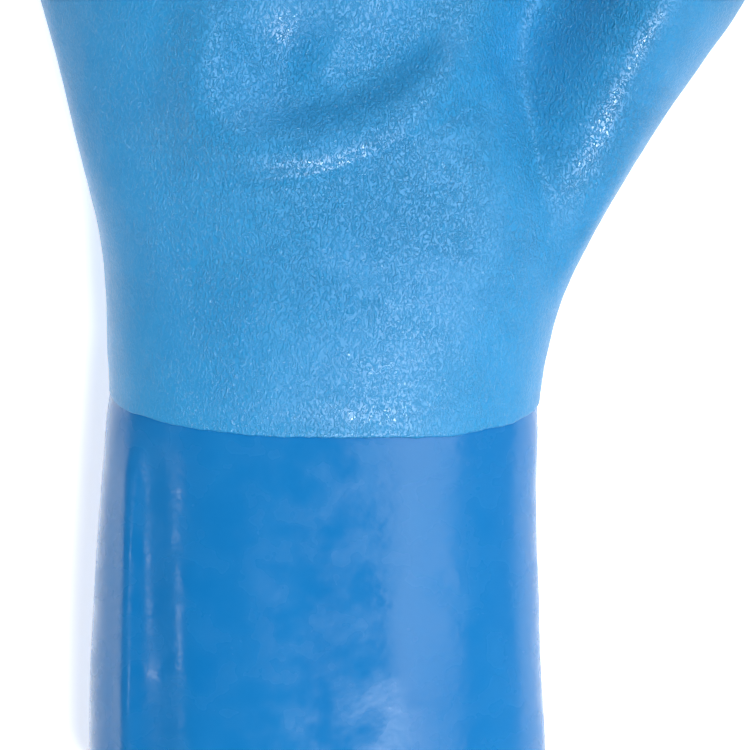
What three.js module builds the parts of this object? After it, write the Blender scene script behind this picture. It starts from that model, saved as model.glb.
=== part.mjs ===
// A right-hand work glove of soft PVC on a knitted base, lying on its back with the palm up.
// Two layers: a smooth base glove from the cuff's rim to the fingertips, and a second, rough coat
// that was dipped over the hand and ends in a line round the wrist.
// Millimetres. +X is the thumb's side, +Y points to the fingertips, +Z is up, out of the palm.
// The origin is under the middle of the glove's box, on the surface that it lies on.

import * as THREE from "three";

// Lengths along the glove, from the wrist crease
const cuffLength = 115; // wrist crease to the cuff's rim
const coatBelowWrist = 28; // wrist crease to the dip line, on the palm's side
const palmLength = 106; // wrist crease to the web between middle and ring finger

// Widths and depths of the smooth base glove, outside
const cuffWidth = 106;
const cuffDepth = 57;
const wristWidth = 98;
const wristDepth = 52;
const palmDepth = 40;
const palmRoundness = 2.3; // power of a section's curve on the palm's side, where 2 is an ellipse
const backRoundness = 2.6; // and on the back's side

// Fingers and thumb, outside
const fingerLength = 90; // middle finger, from its web
const fingerWidth = 27.5; // middle finger
const fingerGap = 3; // between two fingers, at their roots
const fingerCurl = 42; // degrees that a fingertip points above the palm's plane
const thumbLength = 84; // from the thumb's root section to its tip
const thumbWidth = 30;
const thumbRise = 17; // how far the thumb's tip lies above its root

// Walls
const baseWall = 1.2;
const coatWall = 0.7;
const layerGap = 0.3; // between the base glove and the coat
const restDepth = 1.6; // how far the underside is pressed flat where the glove lies
const dipLean = 0.3; // how far the dip line rises towards the fingers for each mm of depth
const dipSlant = 0.022; // and how far it falls for each mm towards the thumb's side
const dipDrop = 15; // length over which the bare cuff comes down to the surface that the coat lies on
const foldDepth = 2.9; // a fold of height 1 in the palm
const foldSteps = 40; // points that a fold's route is read at

const coatOffset = layerGap + coatWall;
const RING = 20; // corners of a section
const TOP = 9; // of which lie on the palm's side

// Where a section's corners stand across its width, from the little finger's side (-1) to the thumb's (1).
// Every second one, from the first, is an edge between two fingers.
const acrossShares = [-0.94, -0.77, -0.535, -0.285, -0.03, 0.225, 0.48, 0.735, 0.935];

// Sections of the cuff, from its rim to the dip line: along is a share of the way from rim to dip line.
// left and right are shares of the half width between wrist and cuff, flare is how much of the cuff it has.
const cuffSections = [
  { along: 0, flare: 1, left: 1.02, right: 0.95, lean: 0 },
  { along: 0.3, flare: 0.74, left: 1.035, right: 0.945, lean: 0.2 },
  { along: 0.65, flare: 0.36, left: 1.03, right: 0.945, lean: 0.55 },
  { along: 1, flare: 0, left: 1.005, right: 0.98, lean: 1 },
];

// Sections of the hand, from the dip line to the roots of the fingers: along is a share of the palm's length.
// left and right are shares of the palm's half width. top is a share of the depth between wrist (1) and
// palm (0), and arc is how much the section follows the arc of the fingers' roots. The thumb leaves the hand
// between a section marked thumb and the next one.
const handSections = [
  { along: -0.113, left: 0.858, right: 0.882, top: 1.0, arc: 0, lean: 0.75, thumb: false },
  { along: 0.066, left: 0.866, right: 0.975, top: 0.94, arc: 0, lean: 0.3, thumb: true },
  { along: 0.226, left: 0.915, right: 0.93, top: 0.83, arc: 0, lean: 0, thumb: true },
  { along: 0.387, left: 0.987, right: 0.9, top: 0.6, arc: 0.05, lean: 0, thumb: true },
  { along: 0.547, left: 1.05, right: 0.86, top: 0.3, arc: 0.15, lean: 0, thumb: true },
  { along: 0.717, left: 1.122, right: 0.845, top: 0.08, arc: 0.45, lean: 0, thumb: false },
  { along: 0.943, left: 1.17, right: 0.85, top: -0.02, arc: 1, lean: 0, thumb: false },
];

// How far the fingers' roots lie from a straight line, for each corner across, in shares of the palm's length
const rootArc = [-0.13, -0.11, -0.08, -0.035, 0.0, 0.02, 0.03, 0.01, -0.02];

// Fingers: first is the corner across where each begins. fan is the angle in degrees towards the thumb.
const fingers = [
  { name: "little", first: 0, length: 0.78, width: 0.88, fan: -14, curl: 1.12 },
  { name: "ring", first: 2, length: 0.95, width: 0.965, fan: -6, curl: 1.1 },
  { name: "middle", first: 4, length: 1, width: 1, fan: 0.5, curl: 1 },
  { name: "index", first: 6, length: 0.93, width: 0.98, fan: 7, curl: 0.82 },
];
// Sections of a finger: along is a share of its length, girth of its width, curl of the whole curl
const fingerSections = [
  { along: 0.17, girth: 0.935, curl: 0.2 },
  { along: 0.46, girth: 0.965, curl: 0.48 },
  { along: 0.76, girth: 0.9, curl: 0.8 },
  { along: 0.935, girth: 0.66, curl: 1 },
];
const fingerAngles = [135, 90, 45, 0, -45, -90, -135, 180]; // a section's corners, 0 on the thumb's side
const fingerDepthShare = 0.98; // a finger's depth against its width
const palmWidth = fingerGap * (fingers.length - 1)
  + fingerWidth * fingers.reduce((sum, f) => sum + f.width, 0);
const webDrop = 0.35; // how far the web's two edges sink towards each other, as a share
const webBack = 0.045; // how far they lie behind the web, as a share of the palm's length

// Sections of the thumb: across and along place its middle, as shares of its length from the root's middle.
// turn is the angle in degrees between the section's normal and the fingers' direction.
const thumbRoot = { across: 0.83, along: 0.434, height: 0.6 };
const thumbSections = [
  { across: 0.235, along: 0.14, turn: 64, girth: 1.2, deep: 1.16, rise: 0.1 },
  { across: 0.375, along: 0.345, turn: 36, girth: 1.04, deep: 1.06, rise: 0.3 },
  { across: 0.5, along: 0.6, turn: 26, girth: 0.96, deep: 0.93, rise: 0.62 },
  { across: 0.575, along: 0.795, turn: 22, girth: 0.7, deep: 0.66, rise: 0.86 },
];
const thumbTip = { across: 0.61, along: 0.885, rise: 1 };
const thumbTwist = 30; // degrees of a section's first corner above its outer side

// Folds of the palm, each a soft ridge (height over 0) or hollow along a route of [x, y], which are shares of
// the palm's half width and length. height counts in fold depths, and width is a share of the palm's width.
const folds = [
  { name: "heel_roll", height: 0.98, width: 0.058,
    route: [[-0.44, 0.56], [-0.48, 0.446], [-0.43, 0.361], [-0.3, 0.328], [-0.1, 0.337],
            [0.1, 0.37], [0.3, 0.417], [0.47, 0.483]] },
  { name: "heel_rise", height: 0.8, width: 0.23,
    route: [[-0.7, 0.4], [0, 0.36], [0.6, 0.36]] },
  { name: "palm_hollow", height: -0.9, width: 0.072,
    route: [[-0.14, 0.51], [-0.12, 0.45], [0, 0.432], [0.14, 0.457], [0.28, 0.51],
            [0.41, 0.605], [0.5, 0.7]] },
  { name: "finger_pads", height: 1.6, width: 0.16,
    route: [[-0.66, 0.63], [-0.3, 0.7], [0.15, 0.74], [0.6, 0.71]] },
  { name: "thumb_hollow", height: -0.75, width: 0.075,
    route: [[0.98, 0.719], [0.82, 0.606], [0.68, 0.521], [0.6, 0.436]] },
  { name: "thumb_ridge", height: 0.75, width: 0.085,
    route: [[1.3, 0.663], [1.12, 0.521], [0.96, 0.361], [0.82, 0.21]] },
];

const lerp = THREE.MathUtils.lerp;
const radians = THREE.MathUtils.degToRad;

// A superellipse's height over a share of its half width
function bow(share, power) {
  return Math.pow(Math.max(0, 1 - Math.pow(Math.abs(share), power)), 1 / power);
}

// The corners of one section, from the little finger's side over the palm and back under the hand
function sectionRing({ y, left, right, depth, lean = 0, arc = 0 }) {
  const middle = (right - left) / 2;
  const half = (right + left) / 2;
  const corner = (share, height, column) => {
    const x = middle + share * half;
    const dip = lean * (dipLean * (depth - height) - dipSlant * x);
    return new THREE.Vector3(x, y + arc * rootArc[column] * palmLength + dip, height);
  };
  const ring = [corner(-1, depth / 2, 0)];
  for (let i = 0; i < TOP; i++)
    ring.push(corner(acrossShares[i], depth / 2 + (depth / 2) * bow(acrossShares[i], palmRoundness), i));
  ring.push(corner(1, depth / 2, TOP - 1));
  for (let i = TOP - 1; i >= 0; i--)
    ring.push(corner(acrossShares[i], depth / 2 - (depth / 2) * bow(acrossShares[i], backRoundness), i));
  return ring;
}

function allSections() {
  const rings = cuffSections.map((s) => {
    const half = lerp(wristWidth, cuffWidth, s.flare) / 2;
    return sectionRing({
      y: lerp(-cuffLength, -coatBelowWrist, s.along),
      left: s.left * half, right: s.right * half,
      depth: lerp(wristDepth, cuffDepth, s.flare), lean: s.lean,
    });
  });
  for (const s of handSections)
    rings.push(sectionRing({
      y: s.along * palmLength, left: s.left * palmWidth / 2, right: s.right * palmWidth / 2,
      depth: lerp(palmDepth, wristDepth, s.top), lean: s.lean, arc: s.arc,
    }));
  return rings;
}

// A ring round a finger or the thumb, from the angles of its corners
function tubeRing(centre, side, up, halfWidth, halfDepth, angles) {
  return angles.map((a) => centre.clone()
    .addScaledVector(side, halfWidth * Math.cos(radians(a)))
    .addScaledVector(up, halfDepth * Math.sin(radians(a))));
}

// The control mesh: corner points and four-sided faces, open at the cuff's rim
function controlMesh() {
  const points = [];
  const faces = [];
  const add = (p) => points.push(p) - 1;
  const rings = allSections().map((ring) => ring.map(add));
  const last = rings.length - 1;
  const thumbSide = TOP; // the first of the two columns that the thumb leaves through
  const thumbStart = cuffSections.length + handSections.findIndex((s) => s.thumb);
  const thumbEnd = thumbStart + handSections.filter((s) => s.thumb).length;

  for (let r = 0; r < last; r++)
    for (let k = 0; k < RING; k++) {
      const next = (k + 1) % RING;
      const inHole = r >= thumbStart && r < thumbEnd && (k === thumbSide || k === thumbSide + 1);
      if (!inHole) faces.push([rings[r][k], rings[r][next], rings[r + 1][next], rings[r + 1][k]]);
    }

  const extend = (from, to) => {
    for (let k = 0; k < from.length; k++) {
      const next = (k + 1) % from.length;
      faces.push([from[k], from[next], to[next], to[k]]);
    }
  };
  const close = (ring, tip) => {
    const centre = add(tip);
    for (let k = 0; k < ring.length; k += 2)
      faces.push([ring[k], ring[k + 1], ring[(k + 2) % ring.length], centre]);
  };

  // Webs between the fingers
  const root = rings[last];
  const topAt = (i) => root[1 + i];
  const underAt = (i) => root[RING - 1 - i];
  const webs = { 0: root[0], [TOP - 1]: root[TOP + 1] };
  for (const { first: i } of fingers.slice(1)) {
    const top = points[topAt(i)];
    const under = points[underAt(i)];
    const web = top.clone().lerp(under, 0.5);
    web.y = Math.max(top.y, under.y);
    webs[i] = add(web);
    top.lerp(web, webDrop).y -= webBack * palmLength;
    under.lerp(web, webDrop).y -= webBack * palmLength;
  }

  for (const f of fingers) {
    const i = f.first;
    let ring = [topAt(i), topAt(i + 1), topAt(i + 2), webs[i + 2],
      underAt(i + 2), underAt(i + 1), underAt(i), webs[i]];
    const centre = new THREE.Vector3();
    for (const p of ring) centre.addScaledVector(points[p], 1 / ring.length);
    const length = f.length * fingerLength;
    const heading = new THREE.Vector3(Math.sin(radians(f.fan)), Math.cos(radians(f.fan)), 0);
    const side = new THREE.Vector3(heading.y, -heading.x, 0);
    let done = 0;
    const step = (along, curl) => {
      const direction = heading.clone().multiplyScalar(Math.cos(radians(curl * f.curl * fingerCurl)))
        .add(new THREE.Vector3(0, 0, Math.sin(radians(curl * f.curl * fingerCurl))));
      centre.addScaledVector(direction, (along - done) * length);
      done = along;
      return direction;
    };
    for (const s of fingerSections) {
      const direction = step(s.along, s.curl);
      const half = s.girth * f.width * fingerWidth / 2;
      const next = tubeRing(centre, side, side.clone().cross(direction), half, half * fingerDepthShare,
        fingerAngles).map(add);
      extend(ring, next);
      ring = next;
    }
    step(1, 1);
    close(ring, centre.clone());
  }

  // The thumb leaves through the hole in the hand's side: round its edge from the top corner beside it
  const [top, middle, under] = [TOP, TOP + 1, TOP + 2];
  const between = rings.slice(thumbStart + 1, thumbEnd);
  let ring = [top, middle, under].map((k) => rings[thumbStart][k]);
  ring.push(...between.map((r) => r[under]));
  ring.push(...[under, middle, top].map((k) => rings[thumbEnd][k]));
  ring.push(...between.reverse().map((r) => r[top]));
  const sides = ring.length;
  const rootPoint = new THREE.Vector3(
    thumbRoot.across * palmWidth / 2, thumbRoot.along * palmLength, thumbRoot.height * palmDepth);
  const thumbPoint = (s) => rootPoint.clone()
    .add(new THREE.Vector3(s.across * thumbLength, s.along * thumbLength, s.rise * thumbRise));
  const angles = ring.map((_, k) => thumbTwist - (k * 360) / sides);
  for (const s of thumbSections) {
    const turn = radians(s.turn);
    const outward = new THREE.Vector3(Math.cos(turn), -Math.sin(turn), 0);
    const next = tubeRing(thumbPoint(s), outward, new THREE.Vector3(0, 0, 1),
      s.girth * thumbWidth / 2, s.deep * thumbWidth / 2, angles).map(add);
    extend(ring, next);
    ring = next;
  }
  close(ring, thumbPoint(thumbTip));
  return { points, faces };
}

// Each corner's faces, seen from that corner, and whether the surface ends there
function cornersOf({ points, faces }) {
  const used = new Set(faces.flatMap((f) => f.map((a, k) => `${a}:${f[(k + 1) % 4]}`)));
  const corners = points.map(() => ({ around: [], ends: [] }));
  faces.forEach((f, index) => f.forEach((a, k) => {
    const next = f[(k + 1) % 4];
    corners[a].around.push({ index, next, across: f[(k + 2) % 4] });
    if (!used.has(`${next}:${a}`)) {
      corners[a].ends.push(next);
      corners[next].ends.push(a);
    }
  }));
  return corners;
}

// Where the corners of a Catmull-Clark mesh end up on its smooth surface
function smoothPoints(mesh) {
  return cornersOf(mesh).map(({ around, ends }, v) => {
    const p = mesh.points[v].clone();
    for (const end of ends) p.addScaledVector(mesh.points[end], 1 / 4);
    if (ends.length) return p.multiplyScalar(2 / 3);
    const n = around.length;
    p.multiplyScalar(n * n);
    for (const c of around) p.addScaledVector(mesh.points[c.next], 4).add(mesh.points[c.across]);
    return p.divideScalar(n * (n + 5));
  });
}

// Moves the corners so that the smooth surface passes through the places where they were
function throughCorners(mesh, rounds) {
  const wanted = mesh.points.map((p) => p.clone());
  for (let i = 0; i < rounds; i++) {
    const reached = smoothPoints(mesh);
    mesh.points.forEach((p, v) => p.add(wanted[v]).sub(reached[v]));
  }
  return mesh;
}

// One round of Catmull-Clark: each face becomes four, in the order of the faces
function refine(mesh) {
  const { points, faces } = mesh;
  const mean = (list) => list.reduce((sum, p) => sum.add(p), new THREE.Vector3())
    .divideScalar(list.length);
  const facePoints = faces.map((f) => mean(f.map((v) => points[v])));
  const beside = new Map();
  const edgeKey = (a, b) => (a < b ? `${a}:${b}` : `${b}:${a}`);
  faces.forEach((f, i) => f.forEach((a, k) => {
    const key = edgeKey(a, f[(k + 1) % 4]);
    if (!beside.has(key)) beside.set(key, { a, b: f[(k + 1) % 4], faces: [] });
    beside.get(key).faces.push(i);
  }));
  const refined = cornersOf(mesh).map(({ around, ends }, v) => {
    const p = points[v].clone();
    for (const end of ends) p.addScaledVector(points[end], 1 / 6);
    if (ends.length) return p.multiplyScalar(3 / 4);
    const n = around.length;
    const middles = mean(around.map((c) => points[c.next].clone().lerp(points[v], 0.5)));
    const faceMiddle = mean(around.map((c) => facePoints[c.index]));
    return p.multiplyScalar(n - 3).addScaledVector(middles, 2).add(faceMiddle).divideScalar(n);
  });
  const add = (p) => refined.push(p) - 1;
  const facePlace = facePoints.map((p) => add(p));
  for (const edge of beside.values()) {
    const ends = [points[edge.a], points[edge.b]];
    const middles = edge.faces.length === 2 ? edge.faces.map((i) => facePoints[i]) : [];
    edge.place = add(mean([...ends, ...middles]));
  }
  const placeOn = (a, b) => beside.get(edgeKey(a, b)).place;
  const quarters = faces.flatMap((f, i) => f.map((v, k) => [
    v, placeOn(v, f[(k + 1) % 4]), facePlace[i], placeOn(v, f[(k + 3) % 4])]));
  return { points: refined, faces: quarters };
}

function normalsOf({ points, faces }) {
  const normals = points.map(() => new THREE.Vector3());
  for (const f of faces) {
    const across = points[f[2]].clone().sub(points[f[0]]);
    const normal = across.cross(points[f[3]].clone().sub(points[f[1]]));
    for (const v of f) normals[v].add(normal);
  }
  return normals.map((n) => n.normalize());
}

// Raises and sinks the palm's side along the folds
function foldPalm(mesh) {
  const curves = folds.map((f) => new THREE.CatmullRomCurve3(
    f.route.map(([x, y]) => new THREE.Vector3(x * palmWidth / 2, y * palmLength, 0))).getPoints(foldSteps));
  const normals = normalsOf(mesh);
  mesh.points.forEach((p, v) => {
    const palmSide = THREE.MathUtils.smoothstep(normals[v].z, 0.1, 0.7);
    const flat = new THREE.Vector3(p.x, p.y, 0);
    folds.forEach((f, i) => {
      const away = Math.min(...curves[i].map((c) => c.distanceTo(flat))) / (f.width * palmWidth);
      p.addScaledVector(normals[v], palmSide * f.height * foldDepth * Math.exp(-away * away));
    });
  });
  return mesh;
}

// A layer's surface: the base glove's outside moved out by offset, and pressed flat where the glove lies.
// Past the dip line the base glove itself reaches the surface below.
function layer(mesh, normals, offset) {
  return mesh.points.map((p, v) => {
    const moved = p.clone().addScaledVector(normals[v], offset);
    const underCoat = THREE.MathUtils.smoothstep(p.y, -coatBelowWrist - dipDrop, -coatBelowWrist);
    moved.z = Math.max(moved.z - restDepth, underCoat * coatOffset - offset);
    return moved;
  });
}

// A closed wall between two layers, over some of the faces
function wall(faces, outer, inner) {
  const position = [];
  const corner = (p) => position.push(p.x, p.y, p.z);
  const quad = (a, b, c, d) => [a, b, c, a, c, d].forEach(corner);
  const used = new Set(faces.flatMap((f) => f.map((a, k) => `${a}:${f[(k + 1) % 4]}`)));
  for (const f of faces) {
    quad(...f.map((v) => outer[v]));
    quad(...[0, 3, 2, 1].map((k) => inner[f[k]]));
    f.forEach((a, k) => {
      const b = f[(k + 1) % 4];
      if (!used.has(`${b}:${a}`)) quad(outer[b], outer[a], inner[a], inner[b]);
    });
  }
  const geometry = new THREE.BufferGeometry();
  geometry.setAttribute("position", new THREE.Float32BufferAttribute(position, 3));
  geometry.computeVertexNormals();
  return geometry;
}

function gloveMesh(name, geometry, color, roughness) {
  const mesh = new THREE.Mesh(geometry, new THREE.MeshStandardMaterial({ color, roughness, metalness: 0 }));
  mesh.name = name;
  return mesh;
}

const control = throughCorners(controlMesh(), 3);
const refined = refine(control);
const surface = foldPalm({ points: smoothPoints(refined), faces: refined.faces });
const normals = normalsOf(surface);
const cuffFaces = (cuffSections.length - 1) * RING * 4;

const baseShell = wall(surface.faces, layer(surface, normals, 0), layer(surface, normals, -baseWall));
const coatShell = wall(surface.faces.slice(cuffFaces), layer(surface, normals, coatOffset),
  layer(surface, normals, layerGap));

const glove = new THREE.Group();
glove.add(gloveMesh("base_glove", baseShell, 0x1d78c0, 0.32));
glove.add(gloveMesh("grip_coat", coatShell, 0x3f98d4, 0.55));
const middle = new THREE.Box3().setFromObject(glove).getCenter(new THREE.Vector3());
glove.position.set(-middle.x, -middle.y, 0);

export default glove;
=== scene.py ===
import math

import bpy
import numpy as np
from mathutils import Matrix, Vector, kdtree, noise


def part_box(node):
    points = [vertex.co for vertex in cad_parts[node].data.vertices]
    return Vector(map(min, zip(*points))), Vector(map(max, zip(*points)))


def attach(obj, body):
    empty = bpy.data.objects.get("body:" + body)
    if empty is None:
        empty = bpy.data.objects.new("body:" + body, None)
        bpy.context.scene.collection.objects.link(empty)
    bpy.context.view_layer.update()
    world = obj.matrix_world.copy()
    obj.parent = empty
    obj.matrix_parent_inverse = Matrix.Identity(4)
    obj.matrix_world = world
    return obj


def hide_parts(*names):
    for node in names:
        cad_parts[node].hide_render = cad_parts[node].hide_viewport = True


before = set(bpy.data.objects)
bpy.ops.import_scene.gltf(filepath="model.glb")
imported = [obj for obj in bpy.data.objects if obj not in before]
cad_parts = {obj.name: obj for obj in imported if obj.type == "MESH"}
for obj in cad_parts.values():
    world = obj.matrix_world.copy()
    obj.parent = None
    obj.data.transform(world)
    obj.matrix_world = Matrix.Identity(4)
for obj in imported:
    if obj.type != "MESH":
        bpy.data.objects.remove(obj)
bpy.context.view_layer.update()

bl_info = {
    "name": "Dipped Work Glove",
    "version": (1, 0, 0),
    "blender": (4, 5, 0),
    "location": "View3D > Sidebar > Glove",
    "description": "A gauntlet work glove of smooth dipped PVC with a second, rough coat over the hand",
    "category": "Add Mesh",
}

MM = 0.001

RING = 20  # corners of a section of the cuff and the hand
TOP = 9  # of which lie on the palm's side
PALM_ROUNDNESS = 2.3
BACK_ROUNDNESS = 2.6
ACROSS_SHARES = (-0.94, -0.77, -0.535, -0.285, -0.03, 0.225, 0.48, 0.735, 0.935)

# Sections of the cuff: share of the way from rim to dip line, flare, left, right, lean
CUFF_SECTIONS = (
    (0, 1, 1.02, 0.95, 0),
    (0.3, 0.74, 1.035, 0.945, 0.2),
    (0.65, 0.36, 1.03, 0.945, 0.55),
    (1, 0, 1.005, 0.98, 1),
)

# Sections of the hand: share of the palm's length, left, right, depth share, arc, lean, thumb leaves here
HAND_SECTIONS = (
    (-0.113, 0.858, 0.882, 1.0, 0, 0.75, False),
    (0.066, 0.866, 0.975, 0.94, 0, 0.3, True),
    (0.226, 0.915, 0.93, 0.83, 0, 0, True),
    (0.387, 0.987, 0.9, 0.6, 0.05, 0, True),
    (0.547, 1.05, 0.86, 0.3, 0.15, 0, True),
    (0.717, 1.122, 0.845, 0.08, 0.45, 0, False),
    (0.943, 1.17, 0.85, -0.02, 1, 0, False),
)
ROOT_ARC = (-0.13, -0.11, -0.08, -0.035, 0.0, 0.02, 0.03, 0.01, -0.02)

# Fingers: first corner across, length, width, fan in degrees, curl
FINGERS = (
    (0, 0.78, 0.88, -14, 1.12),
    (2, 0.95, 0.965, -6, 1.1),
    (4, 1, 1, 0.5, 1),
    (6, 0.93, 0.98, 7, 0.82),
)
FINGER_SECTIONS = ((0.17, 0.935, 0.2), (0.46, 0.965, 0.48), (0.76, 0.9, 0.8), (0.935, 0.66, 1))
FINGER_ANGLES = (135, 90, 45, 0, -45, -90, -135, 180)
FINGER_DEPTH_SHARE = 0.98
WEB_DROP = 0.35
WEB_BACK = 0.045

# Thumb: across, along, turn in degrees, girth, deep, rise
THUMB_ROOT = (0.83, 0.434, 0.6)
THUMB_SECTIONS = (
    (0.235, 0.14, 64, 1.2, 1.16, 0.1),
    (0.375, 0.345, 36, 1.04, 1.06, 0.3),
    (0.5, 0.6, 26, 0.96, 0.93, 0.62),
    (0.575, 0.795, 22, 0.7, 0.66, 0.86),
)
THUMB_TIP = (0.61, 0.885, 1)
THUMB_TWIST = 30

# Folds of the palm: height in fold depths, width as a share of the palm's width, and a route in shares of
# the palm's half width and length
FOLDS = {
    "heel_roll": (0.98, 0.058, ((-0.44, 0.56), (-0.48, 0.446), (-0.43, 0.361), (-0.3, 0.328), (-0.1, 0.337),
                               (0.1, 0.37), (0.3, 0.417), (0.47, 0.483))),
    "palm_hollow": (-0.9, 0.072, ((-0.14, 0.51), (-0.12, 0.45), (0.0, 0.432), (0.14, 0.457),
                                  (0.28, 0.51), (0.41, 0.605), (0.5, 0.7))),
    "finger_pads": (1.6, 0.16, ((-0.66, 0.63), (-0.3, 0.7), (0.15, 0.74), (0.6, 0.71))),
    "heel_rise": (0.8, 0.23, ((-0.7, 0.4), (0, 0.36), (0.6, 0.36))),
    "thumb_hollow": (-0.75, 0.075, ((0.98, 0.719), (0.82, 0.606), (0.68, 0.521), (0.6, 0.436))),
    "thumb_ridge": (0.75, 0.085, ((1.3, 0.663), (1.12, 0.521), (0.96, 0.361), (0.82, 0.21))),
}

# Finer folds, in the same columns, that only the visual model has
FINE_FOLDS = {
    "roll_crease": (-0.2, 0.011, ((-0.39, 0.262), (-0.2, 0.272), (0.0, 0.287), (0.2, 0.327), (0.42, 0.375),
                                   (0.52, 0.412))),
    "web_wrinkle": (-0.16, 0.014, ((0.5, 0.56), (0.52, 0.53), (0.53, 0.5))),
    "thumb_wrinkle": (-0.14, 0.012, ((0.66, 0.53), (0.68, 0.5), (0.7, 0.47))),
}

# Folds of the cuff, with a height in millimetres, a width and a route of (x, y) in millimetres
CUFF_FOLDS = (
    (1.0, 2.2, ((-43.6, -36), (-44.2, -60), (-44.4, -85), (-44.2, -112))),
    (-0.5, 4.5, ((-38.5, -36), (-38.5, -60), (-37.5, -85), (-36.5, -112))),
    (0.4, 5.0, ((-31, -60), (-30, -85), (-29, -112))),
    (-0.25, 9.0, ((-8, -55), (2, -85), (4, -112))),
    (0.3, 8.0, ((22, -38), (20, -60), (18, -80))),
)

# A slight neck at the dip line: its depth, and how far it reaches on either side
NECK_DEPTH = 0.45 * MM
NECK_ON_CUFF = 3.4 * MM
NECK_ON_HAND = 20 * MM

# Rounds that move the cage's corners, and how often its faces are divided for each layer
CORNER_ROUNDS = 3
BASE_LEVEL = 3
COAT_LEVEL = 4
LINING_LEVEL = 2

# How far up a normal points where a fold begins, and where the fold has its whole height
PALM_SIDE = (0.1, 0.7)

# The flat underside: the length over which it rises to leave room for the coat, and how soft its edge is
COAT_ROOM = 15 * MM
FLAT_SOFTNESS = 0.2 * MM

# A skin's relief fades in over these heights above the floor and these distances from the dip line
ABOVE_FLOOR = (0.2 * MM, 2 * MM)
BASE_FADE = (1 * MM, 9 * MM)
COAT_FADE = (0.5 * MM, 3 * MM)

# Relief of the smooth glove, and the wrinkles of the coat's relief
BASE_RELIEF = {"Lump Height": 0.00045, "Lump Size": 0.03, "Wrinkle Height": 0.00006, "Wrinkle Size": 0.008}
COAT_WRINKLES = {"Wrinkle Height": 0.00009, "Wrinkle Size": 0.0042}

# Degrees through which the cuff's rim and the coat's edge turn, in steps
RIM_TURNS = (36, 72, 108, 144)
EDGE_TURNS = (22, 45, 68, 90)

# Waves of the coat's edge, as a height and how many lie in a metre, and how far they reach into the coat
EDGE_WAVES = ((0.45 * MM, 95), (0.25 * MM, 420))
EDGE_WAVES_REACH = 6 * MM
# The edge thickens towards the thumb: share of its height, what it gains, and between which places
EDGE_SHARE = 0.75
EDGE_GAIN = 0.6
EDGE_SPAN = (-42 * MM, 46 * MM)
# Length over which the coat comes to its height, bulge of its edge, and how far its foot stands off
EDGE_ROUNDING = 9 * MM
EDGE_BULGE = 0.9
EDGE_FOOT = 0.04 * MM
COAT_FOOT = 0.08 * MM

# The knit: stitches round the cuff, length of a stitch, and the cuff's axis across and above the floor
KNIT_WALES = 240
KNIT_COURSE = 0.0011
KNIT_AXIS = (-0.0155, 0.027)

# Breadth of a wrinkle as a share of its length, and the two ways in which wrinkles slant
WRINKLE_BREADTH = 0.55
WRINKLE_SLANTS = (-24, 28)
# How wrinkles gain strength along and across the glove: between two places, and from one share to another
WRIST_FADE = (-0.05, 0.0, 0.55, 1.0)
OUTER_FADE = (-0.062, -0.035, 0.45, 1.0)

# Lights, all turned to the wrist: place, size, power and colour
LIGHTS = {
    "key_light": ((0.52, 0.06, 1.14), 0.7, 3.4, (1, 0.99, 0.98)),
    "front_light": ((0.22, -0.56, 1.15), 0.24, 11.4, (1, 1, 1)),
    "back_light": ((0.35, 0.85, 0.7), 0.8, 4.4, (1, 1, 1)),
    "window_light": ((0.34, 0.34, 1.16), 0.1, 1.0, (1, 1, 1)),
    "side_light": ((-0.92, -0.12, 0.78), 0.1, 0.2, (1, 1, 1)),
}
LIGHT_AIM = (0, -0.05, 0.03)

# The floor glows more on the little finger's side: two places across, and the strength at each
FLOOR_HALF = 4.0
FLOOR_GLOW = (-0.12, 0.1, 0.72, 0.4)

# The room's walls: two heights with the brightness at each, then its gain towards the thumb and its middle
WALL_FADE = (0.05, 0.95, 0.85, 0.12)
WALL_SIDES = (0.08, 0.28)
WALL_COLOUR = (0.97, 0.985, 1, 1)

# The camera: the place it looks at, its tilt in degrees, how far away it is and its lens in millimetres
CAMERA_AIM = (-0.0044, -0.0499, 0.025)
CAMERA_TILT = 5
CAMERA_DISTANCE = 0.9428
CAMERA_LENS = 200


def length_of(name, description, default):
    return bpy.props.FloatProperty(name=name, description=description, default=default, unit="LENGTH")


def colour_of(name, description, default):
    return bpy.props.FloatVectorProperty(
        name=name, description=description, default=default, subtype="COLOR", size=4, min=0, max=1)


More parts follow.
